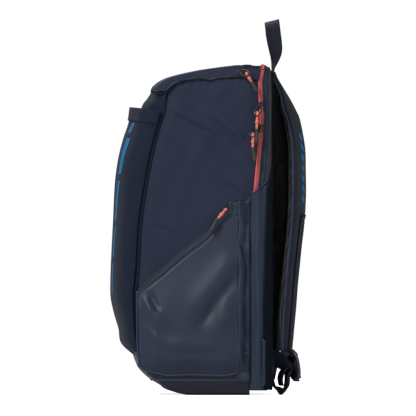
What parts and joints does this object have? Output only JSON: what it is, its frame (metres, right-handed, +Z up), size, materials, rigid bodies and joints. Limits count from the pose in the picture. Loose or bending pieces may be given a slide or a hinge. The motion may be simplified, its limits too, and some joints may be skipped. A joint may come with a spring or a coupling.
{
  "type": "racket backpack",
  "caption": "upright racket backpack with a hinged zip lid, a slim racket compartment along the back, a front slip pocket, side pockets, carry handle and padded shoulder straps",
  "frame": {"origin": "centre of the flat base, on the surface that the bag stands on", "axes": "+Z up, -Y to the front with the slip pocket, +Y to the wearer's back, X across the width"},
  "size_m": [0.306, 0.2931, 0.5644],
  "materials": {
    "textile_navy": "fine matt woven polyester",
    "coated_navy": "soft coated tarpaulin with a satin sheen",
    "lining": "plain thin lining",
    "mesh_black": "black spacer mesh over foam",
    "webbing_navy": "ribbed 25 mm webbing",
    "zip_tape_coral": "zip tape and coil teeth",
    "zip_metal": "black lacquered",
    "cord_coral": "braided cord",
    "pull_rubber": "ribbed moulding",
    "buckle_plastic": "moulded acetal",
    "board_plastic": "stiffener sheet",
    "print_blue": "satin transfer print"
  },
  "bodies": {
    "bag": {"base_panel": "coated_navy", "side_panel_right": "textile_navy", "side_panel_left": "textile_navy", "front_panel": "textile_navy", "divider_panel": "lining", "base_board": "board_plastic", "racket_gusset_right": "coated_navy", "racket_gusset_left": "coated_navy", "racket_floor": "coated_navy", "racket_gusset_top": "textile_navy", "back_board": "board_plastic", "back_pad_lower": "mesh_black", "back_pad_upper": "mesh_black", "racket_zip_tape_right": "zip_tape_coral", "racket_zip_tape_left": "zip_tape_coral", "front_pocket_panel": "textile_navy", "front_pocket_band": "textile_navy", "side_pocket_right": "coated_navy", "side_pocket_left": "coated_navy", "pocket_bellows_right": "coated_navy", "pocket_bellows_left": "coated_navy", "wing_tab_right": "coated_navy", "wing_tab_left": "coated_navy", "adjuster_webbing_right": "webbing_navy", "adjuster_webbing_left": "webbing_navy"},
    "lid": {"lid": "textile_navy"},
    "racket_cap": {"racket_cap": "textile_navy"},
    "carry_handle": {"carry_handle": "webbing_navy"},
    "strap_right": {"strap_pad_right": "mesh_black", "strap_cover_right": "textile_navy", "strap_webbing_right": "webbing_navy", "ladder_lock_right": "buckle_plastic"},
    "pocket_flap_right": {"pocket_flap_right": "coated_navy"},
    "strap_left": {"strap_pad_left": "mesh_black", "strap_cover_left": "textile_navy", "strap_webbing_left": "webbing_navy", "ladder_lock_left": "buckle_plastic"},
    "pocket_flap_left": {"pocket_flap_left": "coated_navy"},
    "slider_main_right": {"slider_main_right": "zip_metal"},
    "pull_main_right": {"pull_cord_main_right": "cord_coral", "pull_grip_main_right": "pull_rubber"},
    "slider_main_left": {"slider_main_left": "zip_metal"},
    "pull_main_left": {"pull_cord_main_left": "cord_coral", "pull_grip_main_left": "pull_rubber"},
    "slider_pocket_right": {"slider_pocket_right": "zip_metal"},
    "pull_pocket_right": {"pull_cord_pocket_right": "cord_coral", "pull_grip_pocket_right": "pull_rubber"},
    "slider_pocket_left": {"slider_pocket_left": "zip_metal"},
    "pull_pocket_left": {"pull_cord_pocket_left": "cord_coral", "pull_grip_pocket_left": "pull_rubber"},
    "slider_racket_upper": {"slider_racket_upper": "zip_metal"},
    "pull_racket_upper": {"pull_cord_racket_upper": "cord_coral", "pull_grip_racket_upper": "pull_rubber"},
    "slider_racket_lower": {"slider_racket_lower": "zip_metal"},
    "pull_racket_lower": {"pull_cord_racket_lower": "cord_coral", "pull_grip_racket_lower": "pull_rubber"}
  },
  "joints": [
    {"name": "lid_hinge", "type": "hinge", "parent": "bag", "child": "lid", "pos_m": [0, 0.0605, 0.495], "axis": [-1, 0, 0], "range_deg": [0, 100]},
    {"name": "racket_cap_hinge", "type": "hinge", "parent": "bag", "child": "racket_cap", "pos_m": [0, 0.097, 0.4928], "axis": [-1, 0, 0], "range_deg": [0, 40]},
    {"name": "handle_hinge", "type": "hinge", "parent": "bag", "child": "carry_handle", "pos_m": [0, 0.1032, 0.4865], "axis": [1, 0, 0], "range_deg": [-60, 0]},
    {"name": "strap_hinge_right", "type": "hinge", "parent": "bag", "child": "strap_right", "pos_m": [0.066, 0.108, 0.476], "axis": [1, 0, 0], "range_deg": [0, 12]},
    {"name": "pocket_fold_right", "type": "hinge", "parent": "bag", "child": "pocket_flap_right", "pos_m": [0.153, 0, 0.15], "axis": [0, 1, 0], "range_deg": [0, 35]},
    {"name": "strap_hinge_left", "type": "hinge", "parent": "bag", "child": "strap_left", "pos_m": [-0.066, 0.108, 0.476], "axis": [1, 0, 0], "range_deg": [0, 12]},
    {"name": "pocket_fold_left", "type": "hinge", "parent": "bag", "child": "pocket_flap_left", "pos_m": [-0.153, 0, 0.15], "axis": [0, -1, 0], "range_deg": [0, 35]},
    {"name": "zip_main_right", "type": "slide", "parent": "lid", "child": "slider_main_right", "axis": [0, -0.9853, -0.171], "range_m": [0, 0.09]},
    {"name": "pull_hinge_main_right", "type": "hinge", "parent": "slider_main_right", "child": "pull_main_right", "pos_m": [0.1482, 0.062, 0.483], "axis": [0, -0.8627, -0.5057], "range_deg": [0, 120]},
    {"name": "zip_main_left", "type": "slide", "parent": "lid", "child": "slider_main_left", "axis": [0, -0.9853, -0.171], "range_m": [0, 0.09]},
    {"name": "pull_hinge_main_left", "type": "hinge", "parent": "slider_main_left", "child": "pull_main_left", "pos_m": [-0.1482, 0.062, 0.483], "axis": [0, 0.8627, 0.5057], "range_deg": [0, 120]},
    {"name": "zip_pocket_right", "type": "slide", "parent": "pocket_flap_right", "child": "slider_pocket_right", "axis": [0, -0.7389, -0.6739], "range_m": [0, 0.075]},
    {"name": "pull_hinge_pocket_right", "type": "hinge", "parent": "slider_pocket_right", "child": "pull_pocket_right", "pos_m": [0.1476, 0.031, 0.279], "axis": [0, -0.8204, 0.5718], "range_deg": [0, 90]},
    {"name": "zip_pocket_left", "type": "slide", "parent": "pocket_flap_left", "child": "slider_pocket_left", "axis": [0, -0.7389, -0.6739], "range_m": [0, 0.075]},
    {"name": "pull_hinge_pocket_left", "type": "hinge", "parent": "slider_pocket_left", "child": "pull_pocket_left", "pos_m": [-0.1476, 0.031, 0.279], "axis": [0, 0.8204, -0.5718], "range_deg": [0, 90]},
    {"name": "zip_racket_upper", "type": "slide", "parent": "bag", "child": "slider_racket_upper", "axis": [0, 0, 1], "range_m": [0, 0.014]},
    {"name": "pull_hinge_racket_upper", "type": "hinge", "parent": "slider_racket_upper", "child": "pull_racket_upper", "pos_m": [0.148, 0.0785, 0.424], "axis": [0, -0.9998, 0.0213], "range_deg": [0, 120]},
    {"name": "zip_racket_lower", "type": "slide", "parent": "bag", "child": "slider_racket_lower", "axis": [0, 0, -1], "range_m": [0, 0.074]},
    {"name": "pull_hinge_racket_lower", "type": "hinge", "parent": "slider_racket_lower", "child": "pull_racket_lower", "pos_m": [0.148, 0.072, 0.392], "axis": [0, -0.9983, -0.0587], "range_deg": [0, 120]}
  ]
}
